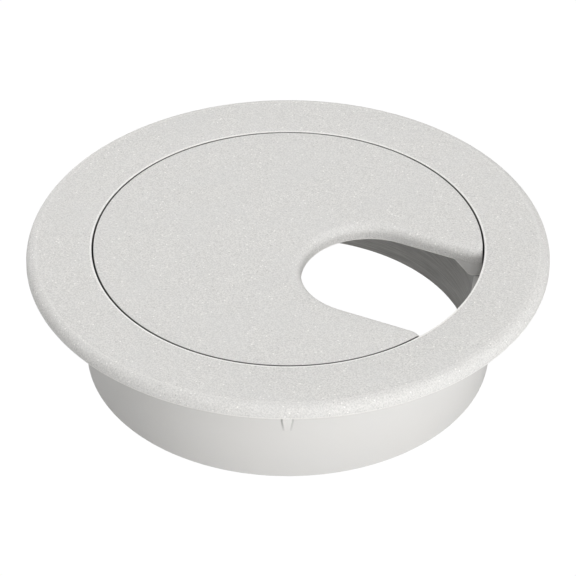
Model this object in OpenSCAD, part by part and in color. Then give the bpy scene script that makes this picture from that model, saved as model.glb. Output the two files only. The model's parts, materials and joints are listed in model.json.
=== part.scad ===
// Round desk grommet: a flanged sleeve that drops into a hole in a desk top,
// and a turning cap that fills the flange and leaves one U-shaped cable outlet.
// Millimetres. The origin is on the axis, on the underside of the flange,
// which is the plane of the desk top. +Z is up. The outlet opens along +X.

/* [Sleeve] */
// Diameter of the desk hole that the sleeve drops into
hole_d = 60; // [60:0.5:61]
// Gap between the tube and the hole, on the radius
hole_gap = 0.3; // [0.2:0.05:0.5]
// Outer diameter of the flange
flange_d = 76; // [72:1:90]
// Thickness of the flange
flange_thick = 1.8; // [1.6:0.1:2.4]
// Radius of the flange's rounded upper edge
edge_round = 1.5; // [0.5:0.1:1.5]
// Height of the sleeve, from its foot to the top of the flange
sleeve_height = 19; // [16:1:30]
// Diameter of the passage through the tube
bore_d = 54; // [53:0.5:55]

/* [Ribs] */
// Number of grip ribs round the outside of the tube
rib_count = 4; // [3:1:8]
// Angle from the outlet to the first rib
rib_angle = -64.2; // [-90:0.1:90]
// Width of a rib's crest
rib_width = 1.3; // [0.8:0.1:2]
// How far a rib's crest stands out of the tube
rib_rise = 0.21; // [0.1:0.01:0.21]
// Length of a rib, down from the flange
rib_length = 8.9; // [6:0.1:12]
// Length of the ramp at a rib's lower end
rib_ramp = 1.9; // [1:0.1:4]

/* [Cap] */
// Diameter of the recess in the flange that holds the cap
recess_d = 57; // [56.6:0.1:57.4]
// Gap round the cap, on the radius
cap_gap = 0.25; // [0.15:0.05:0.4]
// Gap between the cap's skirt and the ledge that it turns on
seat_gap = 0.1; // [0.05:0.05:0.2]
// Thickness of the cap's plate
plate_thick = 2.2; // [1.6:0.1:2.6]
// Depth of the cap's skirt, from the top of the cap
skirt_depth = 4.2; // [3.4:0.1:4.6]
// Thickness of the skirt at its foot
skirt_thick = 2; // [1.8:0.1:2.6]

/* [Outlet] */
// Width of the outlet
outlet_w = 20; // [14:1:22]
// Distance from the cap's axis to the centre of the outlet's round end
outlet_centre = 13.2; // [11:0.1:16]
// Radius of the outlet's rounded upper edge
lip_round = 1.3; // [0.5:0.1:1.5]
// Distance from the cap's axis to where the outlet's mouth starts to widen
mouth_start = 24.2; // [22:0.1:25]
// Radius of the mouth's rounded corners
mouth_round = 3; // [2:0.1:4]

/* [Hidden] */
$fn = 96;

tube_r = hole_d / 2 - hole_gap;
bore_r = bore_d / 2;
flange_r = flange_d / 2;
foot_z = flange_thick - sleeve_height;

cap_r = recess_d / 2 - cap_gap;
plate_z = flange_thick - plate_thick;
skirt_z = flange_thick - skirt_depth;
ledge_z = skirt_z - seat_gap;
// The skirt's inside widens downwards at 45 degrees below the plate.
gusset = skirt_depth - plate_thick;

// Cutters run this far past the faces that they cut.
past = 1;
// Solids that join overlap by this much.
bite = 0.5;
// The mouth's corners turn this far before they are outside the cap.
mouth_turn = 60;

moulded_grey = [0.83, 0.83, 0.81];

// What a corner loses when it is rounded: the corner is at the origin, and the
// material is to its right and below.
module corner_waste(r) {
    difference() {
        translate([0, -r]) square([r, r + past]);
        translate([r, -r]) circle(r);
    }
}

module flange_section() {
    difference() {
        translate([bore_r, 0]) square([flange_r - bore_r, flange_thick]);
        translate([flange_r, flange_thick]) mirror([1, 0]) corner_waste(edge_round);
    }
}

module tube_section() {
    translate([bore_r, foot_z]) square([tube_r - bore_r, bite - foot_z]);
}

module sleeve_section() {
    difference() {
        union() {
            flange_section();
            tube_section();
        }
        translate([0, ledge_z]) square([recess_d / 2, flange_thick - ledge_z + past]);
    }
}

// One grip rib on the +X side, with sides that slope at 45 degrees. The ramp at
// its lower end is cut along a plane that starts on the tube.
module rib() {
    crest = rib_width / 2;
    foot = crest + rib_rise + bite;
    ramp_reach = norm([rib_rise, rib_ramp]);
    translate([tube_r, 0, -rib_length]) difference() {
        linear_extrude(rib_length + bite)
            polygon([[rib_rise, -crest], [rib_rise, crest], [-bite, foot], [-bite, -foot]]);
        rotate([0, atan(rib_rise / rib_ramp), 0]) translate([0, -foot - past, -past])
            cube([past, 2 * (foot + past), ramp_reach + 2 * past]);
    }
}

module sleeve() {
    color(moulded_grey) union() {
        rotate_extrude() sleeve_section();
        for (i = [0 : rib_count - 1]) rotate(rib_angle + i * 360 / rib_count) rib();
    }
}

module cap_section() {
    inner_r = cap_r - skirt_thick;
    translate([0, plate_z]) square([cap_r, plate_thick]);
    polygon([
        [inner_r - gusset, plate_z], [inner_r, skirt_z],
        [cap_r, skirt_z], [cap_r, plate_z + bite], [inner_r - gusset, plate_z + bite],
    ]);
}

// Half of the outlet's own cross-section, with its wall at a given distance.
module outlet_half_section(wall) {
    translate([0, skirt_z - past]) square([wall, skirt_depth + 2 * past]);
    translate([wall, flange_thick]) corner_waste(lip_round);
}

// A corner of the mouth: everything outside a rounded corner whose centre is
// the origin, turned from the outlet's straight side towards the rim.
module mouth_corner() {
    reach = outlet_w / 2;
    rotate([0, 0, -90]) rotate_extrude(angle = mouth_turn) difference() {
        translate([mouth_round - lip_round, skirt_z - past])
            square([reach + lip_round, skirt_depth + 2 * past]);
        translate([mouth_round - lip_round, skirt_z - 2 * past])
            square([lip_round, 2 * past + skirt_depth - lip_round]);
        translate([mouth_round - lip_round, flange_thick - lip_round]) circle(lip_round);
    }
}

module outlet() {
    half = outlet_w / 2;
    translate([outlet_centre, 0, 0]) rotate([0, 0, 90])
        rotate_extrude(angle = 180) outlet_half_section(half);
    translate([mouth_start, 0, 0]) rotate([90, 0, -90])
        linear_extrude(mouth_start - outlet_centre) {
            outlet_half_section(half);
            mirror([1, 0]) outlet_half_section(half);
        }
    for (side = [0, 1]) mirror([0, side, 0])
        translate([mouth_start, half + mouth_round, 0]) mouth_corner();
    translate([mouth_start - past, -half + past, skirt_z - past])
        cube([cap_r, outlet_w - 2 * past, skirt_depth + 2 * past]);
}

module cap() {
    color(moulded_grey) difference() {
        rotate_extrude() cap_section();
        outlet();
    }
}

sleeve();
cap();
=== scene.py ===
import json
import math

import bmesh
import bpy
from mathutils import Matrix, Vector


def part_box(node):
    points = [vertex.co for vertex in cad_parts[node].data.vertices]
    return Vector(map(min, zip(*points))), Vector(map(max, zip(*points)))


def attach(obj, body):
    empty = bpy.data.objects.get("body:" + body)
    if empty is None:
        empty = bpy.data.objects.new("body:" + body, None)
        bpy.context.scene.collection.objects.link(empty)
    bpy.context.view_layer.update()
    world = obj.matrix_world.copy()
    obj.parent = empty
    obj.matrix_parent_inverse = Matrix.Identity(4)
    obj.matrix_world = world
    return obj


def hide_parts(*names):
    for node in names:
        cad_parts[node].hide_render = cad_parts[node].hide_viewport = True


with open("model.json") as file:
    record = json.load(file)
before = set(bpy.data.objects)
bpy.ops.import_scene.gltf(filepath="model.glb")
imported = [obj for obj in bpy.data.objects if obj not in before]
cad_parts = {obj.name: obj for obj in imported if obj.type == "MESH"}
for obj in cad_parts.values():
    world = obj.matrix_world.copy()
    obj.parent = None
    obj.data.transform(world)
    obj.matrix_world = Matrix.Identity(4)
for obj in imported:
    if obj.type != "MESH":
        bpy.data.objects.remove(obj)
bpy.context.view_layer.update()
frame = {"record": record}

# ---------------------------------------------------------------------------
# Sizes, in millimetres. The outer ones come from the frame, and the inner
# ones are the design's own.
# ---------------------------------------------------------------------------

MM = 0.001


def in_mm(corner):
    return [value / MM for value in corner]


sleeve_low, sleeve_high = (in_mm(c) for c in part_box("sleeve"))
cap_low, cap_high = (in_mm(c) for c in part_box("cap"))
mounts = {m["name"]: m for m in frame["record"]["mounts"]}

FLANGE_R = sleeve_high[0]
TOP_Z = sleeve_high[2]
FOOT_Z = sleeve_low[2]
TUBE_R = mounts["desk_hole"]["dims"]["r_mm"]
BORE_R = 27.0
RECESS_R = 28.5
LEDGE_Z = -2.5
EDGE_ROUND = 1.5

CAP_R = cap_high[1]
SKIRT_Z = cap_low[2]
PLATE_Z = TOP_Z - 2.2
SKIRT_INNER_R = CAP_R - 2.0
GUSSET_R = SKIRT_INNER_R - (PLATE_Z - SKIRT_Z)

OUTLET_HALF = 10.0
OUTLET_CENTRE = 13.2
LIP_ROUND = 1.3
MOUTH_START = 24.2
MOUTH_ROUND = 3.0

RIB_COUNT = 4
RIB_ANGLE = math.radians(-64.2)
RIB_HALF = 0.65
RIB_RISE = 0.21
RIB_LENGTH = 8.9
RIB_RAMP = 1.9
RIB_SLOPE = 0.26
# A rib's crest narrows to this share of its width at the foot of the ramp.
RIB_TIP_SHARE = 0.55

# Moulded edges are never quite sharp.
FINE_ROUND = 0.07
KEEN_ROUND = 0.05

# Radii closer than this are the same.
SAME = 1e-6


# ---------------------------------------------------------------------------
# Mesh helpers
# ---------------------------------------------------------------------------

def add_grid(bm, points, closed=False):
    """Quads between neighbouring points of a grid, given as a list of columns."""
    columns = [[bm.verts.new([c * MM for c in p]) for p in column] for column in points]
    pairs = list(zip(columns, columns[1:]))
    if closed:
        pairs.append((columns[-1], columns[0]))
    for left, right in pairs:
        for i in range(len(left) - 1):
            bm.faces.new((left[i], right[i], right[i + 1], left[i + 1]))


def finish_mesh(name, bm, sharp_angle):
    """One welded, outward-facing, smooth-shaded object from bm."""
    bmesh.ops.remove_doubles(bm, verts=bm.verts, dist=1e-4 * MM)
    bmesh.ops.dissolve_degenerate(bm, edges=bm.edges, dist=1e-5 * MM)
    bmesh.ops.recalc_face_normals(bm, faces=bm.faces)
    mesh = bpy.data.meshes.new(name)
    bm.to_mesh(mesh)
    bm.free()
    mesh.polygons.foreach_set("use_smooth", [True] * len(mesh.polygons))
    mesh.set_sharp_from_angle(angle=math.radians(sharp_angle))
    piece = bpy.data.objects.new(name, mesh)
    bpy.context.scene.collection.objects.link(piece)
    return piece


def rounded(corners):
    """Points along a closed (r, z) outline, with each corner rounded.

    Each corner is (r, z, radius, steps)."""
    points = []
    count = len(corners)
    for i, (r, z, radius, steps) in enumerate(corners):
        here = Vector((r, z))
        back = (Vector(corners[i - 1][:2]) - here).normalized()
        ahead = (Vector(corners[(i + 1) % count][:2]) - here).normalized()
        half_angle = back.angle(ahead) / 2
        tangent = radius / math.tan(half_angle)
        centre = here + (back + ahead).normalized() * radius / math.sin(half_angle)
        start = here + back * tangent - centre
        end = here + ahead * tangent - centre
        sweep = start.angle_signed(end)
        for k in range(steps + 1):
            turn = -sweep * k / steps
            c, s = math.cos(turn), math.sin(turn)
            points.append((centre.x + start.x * c - start.y * s, centre.y + start.x * s + start.y * c))
    return points


# ---------------------------------------------------------------------------
# The sleeve: one outline turned round the axis, with the ribs raised on it
# ---------------------------------------------------------------------------

def rib_rise(offset, z):
    """How far a rib stands out, at a sideways offset from its middle and a height z.

    It is full down to the start of its ramp, which goes down to nothing and narrows."""
    strength = min(1.0, max(0.0, (z + RIB_LENGTH) / RIB_RAMP))
    half = RIB_HALF * (RIB_TIP_SHARE + (1 - RIB_TIP_SHARE) * strength)
    side = min(1.0, max(0.0, (half + RIB_SLOPE - abs(offset)) / RIB_SLOPE))
    return RIB_RISE * strength * side


def on_tube_wall(r):
    return abs(r - TUBE_R) < SAME


def sleeve_outline():
    fine = (FINE_ROUND, 4)
    keen = (KEEN_ROUND, 3)
    outline = rounded([
        (BORE_R, FOOT_Z, *fine),
        (TUBE_R, FOOT_Z, *fine),
        (TUBE_R, 0.0, *keen),
        (FLANGE_R, 0.0, *keen),
        (FLANGE_R, TOP_Z, EDGE_ROUND, 16),
        (RECESS_R, TOP_Z, *fine),
        (RECESS_R, LEDGE_Z, *keen),
        (BORE_R, LEDGE_Z, *fine),
    ])
    # The outer wall of the tube takes more rows, so that the ribs can rise on it.
    rows = []
    for i, (r, z) in enumerate(outline):
        rows.append((r, z))
        after = outline[(i + 1) % len(outline)]
        long_stretch = after[1] - z > RIB_LENGTH
        if on_tube_wall(r) and on_tube_wall(after[0]) and long_stretch:
            levels = [-RIB_LENGTH + RIB_RAMP * k / 12 for k in range(-2, 13)]
            rows += [(TUBE_R, level) for level in levels]
    return rows


def build_sleeve():
    outline = sleeve_outline()
    rib_angles = [RIB_ANGLE + 2 * math.pi * k / RIB_COUNT for k in range(RIB_COUNT)]
    # Columns stand a degree apart, and a fine step apart within reach of a rib.
    reach, step = 1.2, 0.1
    columns = []
    for k in range(360):
        angle = 2 * math.pi * k / 360
        near = min(abs(math.remainder(angle - a, 2 * math.pi)) for a in rib_angles)
        if near * TUBE_R > reach + step:
            columns.append((angle, None))
    for a in rib_angles:
        for k in range(-round(reach / step), round(reach / step) + 1):
            columns.append((a + k * step / TUBE_R, k * step))
    columns.sort(key=lambda c: math.fmod(c[0] + 4 * math.pi, 2 * math.pi))

    points = []
    for angle, offset in columns:
        column = []
        for r, z in outline:
            on_wall = offset is not None and on_tube_wall(r) and z < -KEEN_ROUND / 2
            radius = r + (rib_rise(offset, z) if on_wall else 0.0)
            column.append((radius * math.cos(angle), radius * math.sin(angle), z))
        column.append(column[0])
        points.append(column)
    bm = bmesh.new()
    add_grid(bm, points, closed=True)
    return finish_mesh("sleeve_shell", bm, sharp_angle=28)


# ---------------------------------------------------------------------------
# The cap: a plate and a skirt, open at the outlet
# ---------------------------------------------------------------------------

def wall_offset(u, inset):
    """Half the outlet's width at distance u from the axis, inset into the material."""
    if u <= MOUTH_START:
        return OUTLET_HALF + inset
    radius = MOUTH_ROUND - inset
    along = min(u - MOUTH_START, radius)
    return OUTLET_HALF + MOUTH_ROUND - math.sqrt(radius * radius - along * along)


def outlet_angle(r, inset):
    """The angle at which a circle round the axis meets the outlet's side, inset into the material."""
    low, high = 0.0, math.pi / 2
    for _ in range(60):
        angle = (low + high) / 2
        if r * math.sin(angle) < wall_offset(r * math.cos(angle), inset):
            low = angle
        else:
            high = angle
    return angle


def underside(r):
    """Height of the cap's underside at a radius: plate, 45 degree gusset, skirt."""
    return min(PLATE_Z, max(SKIRT_Z, PLATE_Z - (r - GUSSET_R)))


def build_cap():
    lip_steps = 10
    lip = []
    for k in range(lip_steps + 1):
        a = math.pi / 2 * k / lip_steps
        lip.append((LIP_ROUND * (1 - math.cos(a)), LIP_ROUND * (1 - math.sin(a))))
    inner = 22.0
    mid_columns = 288

    # Rings, as (radius, how much the edge's fine rounding takes off): the plate, the gusset,
    # the skirt, and the rounding itself.
    rings = [(inner, 0.0), (inner + 1.0, 0.0)]
    rings += [(GUSSET_R + (SKIRT_INNER_R - GUSSET_R) * k / 4, 0.0) for k in range(5)]
    rings += [(SKIRT_INNER_R + 0.25 * k, 0.0) for k in range(1, 8)]
    for k in range(5):
        a = math.pi / 2 * k / 4
        rings.append((CAP_R - FINE_ROUND + FINE_ROUND * math.sin(a), FINE_ROUND * (1 - math.cos(a))))

    top, bottom = [], []
    for r, drop in rings:
        side = [(outlet_angle(r, inset), down) for inset, down in lip]
        start = side[-1][0]
        span = 2 * math.pi - 2 * start
        stations = side + [(start + span * k / mid_columns, 0.0) for k in range(1, mid_columns)]
        stations += [(2 * math.pi - angle, down) for angle, down in reversed(side)]
        top.append([(r * math.cos(a), r * math.sin(a), TOP_Z - down - drop) for a, down in stations])
        bottom.append([(r * math.cos(a), r * math.sin(a), underside(r) + drop) for a, _ in stations])

    # The band of the lip round the outlet's inner end.
    band_top, band_bottom = [], []
    straight_steps, arc_steps = 6, 48
    for inset, down in lip:
        half = OUTLET_HALF + inset
        reach = math.sqrt(inner * inner - half * half) - OUTLET_CENTRE
        path = [(OUTLET_CENTRE + reach * (1 - k / straight_steps), half) for k in range(straight_steps)]
        for k in range(arc_steps + 1):
            a = math.pi / 2 + math.pi * k / arc_steps
            path.append((OUTLET_CENTRE + half * math.cos(a), half * math.sin(a)))
        path += [(u, -v) for u, v in reversed(path[:straight_steps])]
        band_top.append([(u, v, TOP_Z - down) for u, v in path])
        band_bottom.append([(u, v, PLATE_Z) for u, v in path])

    bm = bmesh.new()
    for sheet in (top, bottom, band_top, band_bottom):
        add_grid(bm, sheet)
    # The flat middle of the plate, above and below: inside the innermost ring and the band.
    across = slice(lip_steps, lip_steps + mid_columns + 1)
    for ring, band in ((top[0], band_top[-1]), (bottom[0], band_bottom[-1])):
        outline = ring[across] + band[::-1][1:-1]
        bm.faces.new([bm.verts.new([c * MM for c in p]) for p in outline])
    # The walls: round the outlet, and round the rim.
    mouth_a = [(ring[0], low[0]) for ring, low in zip(top, bottom)][::-1]
    inner_end = list(zip(band_top[0], band_bottom[0]))[1:-1]
    mouth_b = [(ring[-1], low[-1]) for ring, low in zip(top, bottom)]
    add_grid(bm, mouth_a + inner_end + mouth_b)
    add_grid(bm, list(zip(top[-1], bottom[-1])))
    return finish_mesh("cap_plate", bm, sharp_angle=28)


# ---------------------------------------------------------------------------
# Materials
# ---------------------------------------------------------------------------

class Nodes:
    """Short spellings for building a node tree."""

    def __init__(self, name):
        self.material = bpy.data.materials.new(name)
        self.material.use_nodes = True
        self.tree = self.material.node_tree
        self.tree.nodes.clear()

    def add(self, kind, inputs=None, **settings):
        node = self.tree.nodes.new(kind)
        for key, value in settings.items():
            setattr(node, key, value)
        for key, value in (inputs or {}).items():
            if isinstance(value, bpy.types.NodeSocket):
                self.tree.links.new(value, node.inputs[key])
            else:
                node.inputs[key].default_value = value
        return node

    def math(self, operation, a, b=0.0, c=0.0, clamp=False):
        node = self.add("ShaderNodeMath", {0: a, 1: b, 2: c}, operation=operation, use_clamp=clamp)
        return node.outputs[0]

    def ramp(self, value, low, high, out_low=0.0, out_high=1.0):
        if low > high:
            low, high, out_low, out_high = high, low, out_high, out_low
        node = self.add(
            "ShaderNodeMapRange",
            {"Value": value, "From Min": low, "From Max": high, "To Min": out_low, "To Max": out_high},
            interpolation_type="SMOOTHSTEP",
        )
        return node.outputs["Result"]

    def mix(self, factor, a, b):
        node = self.add("ShaderNodeMix", data_type="RGBA")
        for socket, value in ((0, factor), (6, a), (7, b)):
            if isinstance(value, bpy.types.NodeSocket):
                self.tree.links.new(value, node.inputs[socket])
            else:
                node.inputs[socket].default_value = value
        return node.outputs[2]


PLASTIC = (0.735, 0.725, 0.705, 1.0)
# The brightness of painted shade and of painted highlight, as a share of the plain plastic's.
PAINTED_SHADE = 0.10
PAINTED_HIGHLIGHT = 1.34
# The grain's depth in millimetres, and the draw lines' as a share of it.
GRAIN_DEPTH = 0.068
LINE_SHARE = 0.004


def shade(colour, factor):
    """A colour made darker or lighter."""
    return [min(1.0, c * factor) for c in colour[:3]] + [1.0]


def moulded_plastic(name, colour, grained, highlighted, shaded):
    """Light grey moulded plastic.

    Each of the three functions takes (n, x, y, z, radius), in millimetres, and gives a share
    from 0 to 1: of spark-eroded grain against smooth satin, of painted highlight on edges,
    and of painted shade in the gaps and corners."""
    n = Nodes(name)
    place = n.add("ShaderNodeTexCoord").outputs["Object"]
    mm = n.add("ShaderNodeVectorMath", {0: place, "Scale": 1 / MM}, operation="SCALE").outputs[0]
    xyz = n.add("ShaderNodeSeparateXYZ", {0: mm})
    x, y, z = xyz.outputs
    radius = n.math("SQRT", n.math("ADD", n.math("MULTIPLY", x, x), n.math("MULTIPLY", y, y)))
    grain_share = grained(n, x, y, z, radius)

    grain = n.add(
        "ShaderNodeTexNoise",
        {"Vector": mm, "Scale": 4.6, "Detail": 3.0, "Roughness": 0.66, "Lacunarity": 2.1},
    ).outputs["Fac"]
    pits = n.add("ShaderNodeTexVoronoi", {"Vector": mm, "Scale": 2.6, "Randomness": 1.0})
    pit = n.ramp(pits.outputs["Distance"], 0.05, 0.42)
    patches = n.add("ShaderNodeTexNoise", {"Vector": mm, "Scale": 0.16, "Detail": 2.0}).outputs["Fac"]

    # Very faint draw lines run up the smooth walls, where the part slid out of the mould.
    turn = n.math("ARCTAN2", y, x)
    lines_place = n.add("ShaderNodeCombineXYZ", {0: n.math("MULTIPLY", turn, 26.0), 1: z, 2: 0.0})
    lines_map = n.add("ShaderNodeMapping", {"Vector": lines_place.outputs[0], "Scale": (4.0, 0.12, 1.0)})
    lines = n.add(
        "ShaderNodeTexNoise", {"Vector": lines_map.outputs[0], "Scale": 1.0, "Detail": 2.0}
    ).outputs["Fac"]

    # Colour: the grain's own light and shade, a few pale and dark specks, and slow unevenness.
    speck_cells = n.add("ShaderNodeTexVoronoi", {"Vector": mm, "Scale": 1.9, "Randomness": 1.0})
    speck_dot = n.ramp(speck_cells.outputs["Distance"], 0.12, 0.30, 1.0, 0.0)
    speck_kind = n.add("ShaderNodeSeparateColor", {0: speck_cells.outputs["Color"]}).outputs[0]
    pale_speck = n.math("MULTIPLY", speck_dot, n.math("GREATER_THAN", speck_kind, 0.82))
    dark_speck = n.math("MULTIPLY", speck_dot, n.math("LESS_THAN", speck_kind, 0.10))
    grain_tone = n.mix(n.ramp(grain, 0.32, 0.68), shade(colour, 0.85), shade(colour, 1.13))
    specked = n.mix(pale_speck, grain_tone, shade(colour, 1.36))
    specked = n.mix(n.math("MULTIPLY", dark_speck, 0.8), specked, shade(colour, 0.68))
    tone = n.mix(grain_share, colour, specked)
    cool = [colour[0] * 0.975, colour[1] * 0.985, colour[2], 1.0]
    tone = n.mix(n.ramp(patches, 0.35, 0.75, 0.0, 0.6), tone, n.mix(0.5, tone, cool))

    smooth_share = n.math("SUBTRACT", 1.0, grain_share)
    height_grain = n.math("ADD", n.math("MULTIPLY", grain, 0.75), n.math("MULTIPLY", pit, 0.25))
    height = n.math(
        "ADD",
        n.math("MULTIPLY", height_grain, grain_share),
        n.math("MULTIPLY", lines, n.math("MULTIPLY", smooth_share, LINE_SHARE)),
    )
    bump = n.add("ShaderNodeBump", {"Height": height, "Strength": 1.0, "Distance": GRAIN_DEPTH * MM})
    rough_grain = n.ramp(grain, 0.3, 0.7, 0.62, 0.52)
    rough_smooth = n.ramp(lines, 0.3, 0.7, 0.29, 0.33)
    roughness = n.math(
        "ADD",
        n.math("MULTIPLY", rough_grain, grain_share),
        n.math("MULTIPLY", rough_smooth, smooth_share),
    )
    # Painted highlight on edges.
    highlight_share = n.math("MULTIPLY", highlighted(n, x, y, z, radius), n.ramp(grain, 0.2, 0.5))
    tone = n.mix(highlight_share, tone, shade(colour, PAINTED_HIGHLIGHT))
    # Painted shade in the gaps and corners, on the ribs' sides and down the bore.
    tone = n.mix(shaded(n, x, y, z, radius), tone, shade(colour, PAINTED_SHADE))
    shader = n.add("ShaderNodeBsdfPrincipled", {
        "Base Color": tone,
        "Roughness": roughness,
        "Normal": bump.outputs["Normal"],
        "IOR": 1.49,
        "Specular IOR Level": 0.5,
    })
    n.add("ShaderNodeOutputMaterial", {"Surface": shader.outputs[0]})
    return n.material


def between(n, value, low, high, soft):
    """1 where value lies from low to high, falling to 0 over a soft distance outside."""
    rise = n.ramp(value, low - soft, low)
    fall = n.ramp(value, high, high + soft, 1.0, 0.0)
    return n.math("MULTIPLY", rise, fall)


def rib_place(n, x, y, z, radius):
    """How far a place on the tube lies beyond the edge of the nearest rib's crest, and the
    share of a rib's full height at that level."""
    sector = 2 * math.pi / RIB_COUNT
    turn = n.math("SUBTRACT", n.math("ARCTAN2", y, x), RIB_ANGLE - sector / 2)
    within = n.math("SUBTRACT", n.math("FLOORED_MODULO", turn, sector), sector / 2)
    offset = n.math("MULTIPLY", n.math("ABSOLUTE", within), TUBE_R)
    strength = n.math("DIVIDE", n.math("ADD", z, RIB_LENGTH), RIB_RAMP, clamp=True)
    half = n.math("MULTIPLY_ADD", strength, (1 - RIB_TIP_SHARE) * RIB_HALF, RIB_TIP_SHARE * RIB_HALF)
    on_tube = n.ramp(radius, TUBE_R - 0.1, TUBE_R - 0.02)
    on_tube = n.math("MULTIPLY", on_tube, n.ramp(z, -0.1, 0.0, 1.0, 0.0))
    on_tube = n.math("MULTIPLY", on_tube, n.ramp(radius, TUBE_R + 0.3, TUBE_R + 0.4, 1.0, 0.0))
    return n.math("SUBTRACT", offset, half), n.math("MULTIPLY", n.math("SQRT", strength), on_tube)


def flange_grain(n, x, y, z, radius):
    """The flange's top and rounded edge are grained, down to its sharp lower edge."""
    above = n.ramp(z, 0.02, 0.10)
    outside_recess = n.ramp(radius, RECESS_R - 0.02, RECESS_R + 0.05)
    return n.math("MULTIPLY", above, outside_recess)


def flange_highlights(n, x, y, z, radius):
    """Painted highlight on the recess's upper edge, the flange's lower edge, the crests of the ribs,
    and faintly the line where the flange's rounded edge starts."""
    recess = between(n, radius, RECESS_R, RECESS_R + 0.24, 0.10)
    recess = n.math("MULTIPLY", recess, n.ramp(z, TOP_Z - 0.2, TOP_Z))
    rim = between(n, z, 0.0, 0.16, 0.06)
    rim = n.math("MULTIPLY", rim, n.ramp(radius, FLANGE_R - 0.2, FLANGE_R - 0.1))
    beyond, share = rib_place(n, x, y, z, radius)
    ribs = n.math("MULTIPLY", n.ramp(beyond, -0.05, 0.05, 0.30, 0.0), share)
    brow_r = FLANGE_R - EDGE_ROUND
    brow = between(n, radius, brow_r - 0.05, brow_r + 0.15, 0.12)
    brow = n.math("MULTIPLY", brow, n.ramp(z, 0.5, 1.0))
    edges = n.math("MAXIMUM", n.math("MULTIPLY", recess, 0.9), n.math("MULTIPLY", rim, 0.8))
    edges = n.math("MAXIMUM", edges, n.math("MULTIPLY", brow, 0.16))
    return n.math("MAXIMUM", edges, ribs)


def bore_shade_rings(n, x, y, z):
    """Painted shade down the bore, laid on in fine uneven rings round it."""
    turn = n.math("ARCTAN2", y, x)
    place = n.add(
        "ShaderNodeCombineXYZ", {0: n.math("MULTIPLY", turn, 4.0), 1: n.math("MULTIPLY", z, 4.6), 2: 0.0}
    ).outputs[0]
    noise = n.add("ShaderNodeTexNoise", {"Vector": place, "Scale": 1.0, "Detail": 3.0, "Roughness": 0.7})
    return n.ramp(noise.outputs["Fac"], 0.35, 0.65, 0.0, 0.32)


def sleeve_shade(n, x, y, z, radius):
    """Painted shade on the recess's wall in the gap round the cap, lighter where the outlet's
    mouth opens on it at rest; in rings down the bore; and on the ribs' sloping sides."""
    # Painted shade on the recess's wall, in the gap round the cap.
    recess = n.ramp(radius, RECESS_R + 0.02, RECESS_R, 0.0, 1.0)
    recess = n.math("MULTIPLY", recess, n.ramp(z, TOP_Z, TOP_Z - 0.15, 0.0, 1.0))
    mouth = n.ramp(n.math("ABSOLUTE", y), OUTLET_HALF + 1.6, OUTLET_HALF + 1.2)
    mouth = n.math("MULTIPLY", mouth, n.ramp(x, 20.0, 22.0))
    recess = n.math("MULTIPLY", recess, n.math("MULTIPLY_ADD", mouth, -0.45, 1.0))
    recess = n.math("MULTIPLY", recess, n.ramp(z, LEDGE_Z - 0.2, LEDGE_Z))
    on_bore = n.ramp(radius, BORE_R + 0.3, BORE_R + 0.1, 0.0, 1.0)
    # Painted shade down the bore, in rings.
    bore = n.math("MULTIPLY", on_bore, bore_shade_rings(n, x, y, z))
    beyond, share = rib_place(n, x, y, z, radius)
    # Painted shade on the ribs' sloping sides.
    slope_shade = n.math("MULTIPLY", between(n, beyond, 0.0, RIB_SLOPE, 0.04), share)
    bore_and_slope_shade = n.math("MAXIMUM", bore, n.math("MULTIPLY", slope_shade, 0.30))
    return n.math("MAXIMUM", n.math("MULTIPLY", recess, 0.82), bore_and_slope_shade)


def cap_grain(n, x, y, z, radius):
    """The cap's top and the outlet's rounded lip are grained, and its underside is not."""
    above = n.ramp(z, PLATE_Z + 0.02, PLATE_Z + 0.15)
    inside_rim = n.ramp(radius, CAP_R - 0.06, CAP_R - 0.01, 1.0, 0.0)
    return n.math("MULTIPLY", above, inside_rim)


def cap_highlights(n, x, y, z, radius):
    """Painted highlight on the lower edge of the outlet's wall: along the plate, down the gusset and under
    the skirt.
    """
    gusset = n.math("SUBTRACT", PLATE_Z + GUSSET_R, radius)
    edge = n.math("MINIMUM", n.math("MAXIMUM", gusset, SKIRT_Z), PLATE_Z)
    return n.math("MULTIPLY", n.ramp(n.math("SUBTRACT", z, edge), 0.10, 0.22, 1.0, 0.0), 0.9)


def cap_shade(n, x, y, z, radius):
    """Painted shade on the cap's rim, down in the gap."""
    rim = n.ramp(radius, CAP_R - 0.03, CAP_R - 0.01)
    return n.math("MULTIPLY", n.math("MULTIPLY", rim, n.ramp(z, TOP_Z, TOP_Z - 0.12, 0.0, 1.0)), 0.96)


# ---------------------------------------------------------------------------
# The pieces
# ---------------------------------------------------------------------------

sleeve = build_sleeve()
sleeve.data.materials.append(moulded_plastic(
    "sleeve_plastic", PLASTIC, grained=flange_grain, highlighted=flange_highlights, shaded=sleeve_shade))
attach(sleeve, "sleeve")
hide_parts("sleeve")

cap = build_cap()
cap.data.materials.append(moulded_plastic(
    "cap_plastic", PLASTIC, grained=cap_grain, highlighted=cap_highlights, shaded=cap_shade))
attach(cap, "cap")
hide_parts("cap")


# ---------------------------------------------------------------------------
# Floor, lights and camera
# ---------------------------------------------------------------------------

def direction(azimuth, elevation):
    """Unit vector from the object towards a place; azimuth 0 is -Y and 90 is +X."""
    a, e = math.radians(azimuth), math.radians(elevation)
    return Vector((math.sin(a) * math.cos(e), -math.cos(a) * math.cos(e), math.sin(e)))


# How far the floor that shows, and the paper that reflects, lie below the foot.
FLOOR_DROP = 0.05
PAPER_DROP = 5.0
PAPER_WHITE = 0.70


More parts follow.
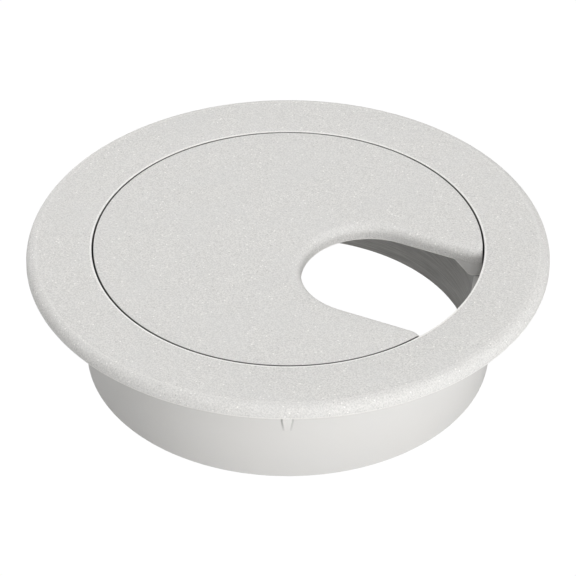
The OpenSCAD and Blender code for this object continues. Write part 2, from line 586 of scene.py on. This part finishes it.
def build_backdrop():
    """A plain floor that sweeps up into a dome, lit evenly of itself."""
    flat, curve, dome = 1.2, 0.6, 1.8
    # In one plane with the foot, the two would be drawn through each other.
    floor_z = (FOOT_Z - FLOOR_DROP) * MM
    profile = [(0.0, 0.0), (0.3, 0.0), (flat, 0.0)]
    for k in range(1, 9):
        a = math.pi / 2 * k / 8
        profile.append((flat + curve * math.sin(a), curve * (1 - math.cos(a))))
    for k in range(1, 13):
        a = math.pi / 2 * k / 12
        profile.append((dome * math.cos(a), curve + dome * math.sin(a)))
    steps = 64
    points = []
    for k in range(steps):
        a = 2 * math.pi * k / steps
        points.append([(r / MM * math.cos(a), r / MM * math.sin(a), (z + floor_z) / MM) for r, z in profile])
    bm = bmesh.new()
    add_grid(bm, points, closed=True)
    studio = finish_mesh("backdrop", bm, sharp_angle=60)
    # Its inside is its front, so it is clear from below and from outside.
    studio.data.flip_normals()
    n = Nodes("backdrop_white")
    lit = n.add("ShaderNodeEmission", {"Color": (1.0, 1.0, 1.0, 1.0), "Strength": 1.02})
    clear = n.add("ShaderNodeBsdfTransparent")
    back = n.add("ShaderNodeNewGeometry").outputs["Backfacing"]
    surface = n.add("ShaderNodeMixShader", {0: back, 1: lit.outputs[0], 2: clear.outputs[0]})
    n.add("ShaderNodeOutputMaterial", {"Surface": surface.outputs[0]})
    studio.data.materials.append(n.material)
    studio.visible_glossy = False
    studio.visible_diffuse = False
    studio.visible_shadow = False


def build_bounce():
    """The paper under the object, as its soft light reaches the object from below."""
    bm = bmesh.new()
    bmesh.ops.create_circle(bm, cap_ends=True, segments=96, radius=1.2)
    bounce = finish_mesh("bounce_paper", bm, sharp_angle=60)
    bounce.location.z = (FOOT_Z - PAPER_DROP) * MM
    n = Nodes("bounce_paper")
    paper = n.add("ShaderNodeBsdfDiffuse", {"Color": (PAPER_WHITE, PAPER_WHITE, PAPER_WHITE, 1.0)})
    n.add("ShaderNodeOutputMaterial", {"Surface": paper.outputs[0]})
    bounce.data.materials.append(n.material)
    bounce.visible_camera = False


SOFTBOX_DISTANCE = 0.9
SOFTBOX_SIZE = 0.5


def add_softbox(name, azimuth, elevation, power):
    data = bpy.data.lights.new(name, "AREA")
    data.shape = "SQUARE"
    data.size = SOFTBOX_SIZE
    data.energy = power
    light = bpy.data.objects.new(name, data)
    back = direction(azimuth, elevation)
    light.location = back * SOFTBOX_DISTANCE
    light.rotation_mode = "QUATERNION"
    light.rotation_quaternion = (-back).to_track_quat("-Z", "Y")
    light.visible_camera = False
    bpy.context.scene.collection.objects.link(light)


VIEW_AZIMUTH = 26.0
VIEW_ELEVATION = 36.55
VIEW_DISTANCE = 0.544
LENS = 234.3
AIM_Z = -6.2


def build_camera():
    data = bpy.data.cameras.new("camera")
    data.lens = LENS
    data.sensor_width = 36.0
    data.clip_start = 0.01
    data.clip_end = 20.0
    camera = bpy.data.objects.new("camera", data)
    camera.location = Vector((0, 0, TOP_Z * MM)) + direction(VIEW_AZIMUTH, VIEW_ELEVATION) * VIEW_DISTANCE
    camera.rotation_mode = "QUATERNION"
    aim = Vector((0, 0, AIM_Z * MM))
    camera.rotation_quaternion = (aim - camera.location).to_track_quat("-Z", "Y")
    bpy.context.scene.collection.objects.link(camera)
    bpy.context.scene.camera = camera


build_backdrop()
build_bounce()
add_softbox("low_key", VIEW_AZIMUTH + 38, 8, power=5.3)
add_softbox("front", VIEW_AZIMUTH + 10, 30, power=1.5)
add_softbox("back_low", VIEW_AZIMUTH - 150, 12, power=2.6)
add_softbox("left_high", VIEW_AZIMUTH - 110, 55, power=0.9)
add_softbox("right_high", VIEW_AZIMUTH + 150, 55, power=1.5)
add_softbox("overhead", VIEW_AZIMUTH, 85, power=1.75)
build_camera()

world = bpy.data.worlds.new("soft_fill")
world.use_nodes = True
fill = world.node_tree.nodes["Background"]
fill.inputs["Color"].default_value = (1.0, 1.0, 1.0, 1.0)
fill.inputs["Strength"].default_value = 0.285
bpy.context.scene.world = world
bpy.context.scene.view_settings.view_transform = "Standard"
